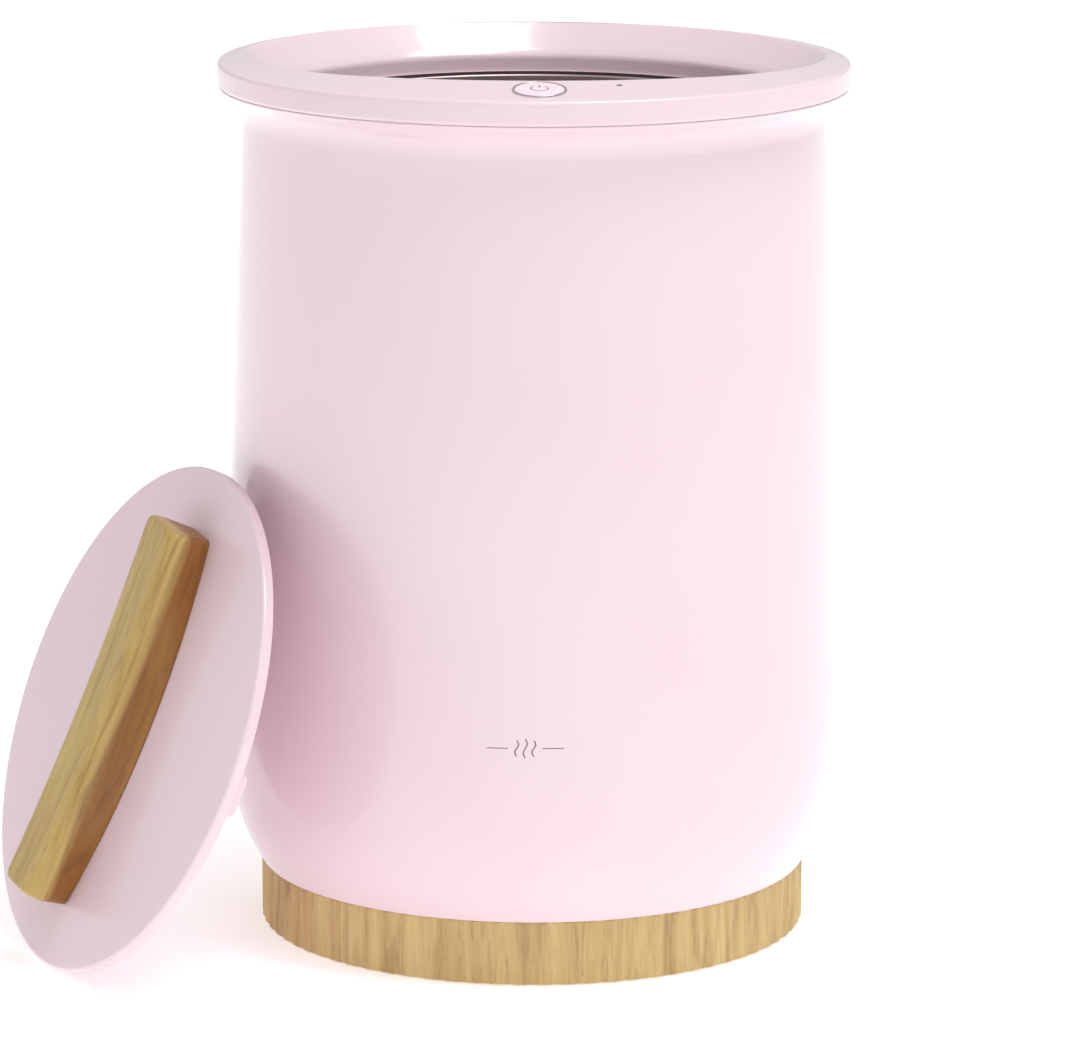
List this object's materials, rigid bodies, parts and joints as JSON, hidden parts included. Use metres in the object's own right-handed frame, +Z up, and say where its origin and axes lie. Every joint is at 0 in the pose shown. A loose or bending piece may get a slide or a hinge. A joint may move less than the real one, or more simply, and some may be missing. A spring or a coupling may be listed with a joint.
{
  "type": "towel warmer",
  "caption": "Bucket towel warmer with a heated round well, a lift-off lid with a wooden bar handle, a push button on the rim and a fluted wooden foot.",
  "frame": {"origin": "on the floor under the middle of the bucket, in the plane of the rubber feet", "axes": "+Z is up, the control panel faces -Y, and the lid leans against the -X side"},
  "size_m": [0.435, 0.3632, 0.4512],
  "materials": {
    "pink_plastic": "smooth, softly glossy moulded plastic, pale pink",
    "foot_wood": "oiled hardwood with upright and slanting grain",
    "handle_wood": "light oiled hardwood, straight grain",
    "well_metal": "satin anodised",
    "button_plastic": "smooth, with a printed power symbol",
    "ring_chrome": "polished",
    "seal_rubber": "matt",
    "foot_rubber": "matt",
    "heater_silicone": "matt",
    "felt": "pressed felt",
    "steel": "zinc plated",
    "brass": "machined",
    "black_plastic": "fine moulded texture",
    "board_green": "solder mask",
    "wire_white": "smooth insulation",
    "led": "clear dome",
    "lens_clear": "polished"
  },
  "bodies": {
    "housing": {"outer_shell": "pink_plastic", "top_rim": "pink_plastic", "base_ring": "foot_wood", "inner_liner": "well_metal", "button_ring": "ring_chrome", "liner_seal": "seal_rubber", "rubber_feet": "foot_rubber", "heater_film": "heater_silicone", "insulation_wrap": "felt", "insulation_pad": "felt", "clamp_ring": "steel", "liner_screws": "steel", "heater_straps": "steel", "thermostat": "steel", "rim_screws": "steel", "base_screws": "steel", "inlet_screws": "steel", "board_screws": "steel", "button_spring": "steel", "inlet_pins": "brass", "base_plate": "black_plastic", "mains_inlet": "black_plastic", "terminal_block": "black_plastic", "tactile_switch": "black_plastic", "board_chips": "black_plastic", "control_board": "board_green", "wire_harness": "wire_white", "mains_wires": "wire_white", "thermal_fuse": "wire_white", "power_led": "led", "led_lens": "lens_clear"},
    "button": {"power_button": "button_plastic"},
    "lid": {"lid_cover": "pink_plastic", "lid_pan": "pink_plastic", "lid_insulation": "felt", "lid_handle": "handle_wood", "handle_inserts": "brass", "handle_screws": "steel", "handle_washers": "steel"}
  },
  "joints": [
    {"name": "button_press", "type": "slide", "parent": "housing", "child": "button", "axis": [-0.0026, 0.1409, -0.99], "range_m": [0, 0.0012], "stiffness_N_per_m": 400, "springref_m": -0.0015, "deforming": ["button_spring"]},
    {"name": "lid_lift", "type": "slide", "parent": "housing", "child": "lid", "axis": [-0.8345, -0.4137, 0.3639], "range_m": [0, 0.3]}
  ]
}
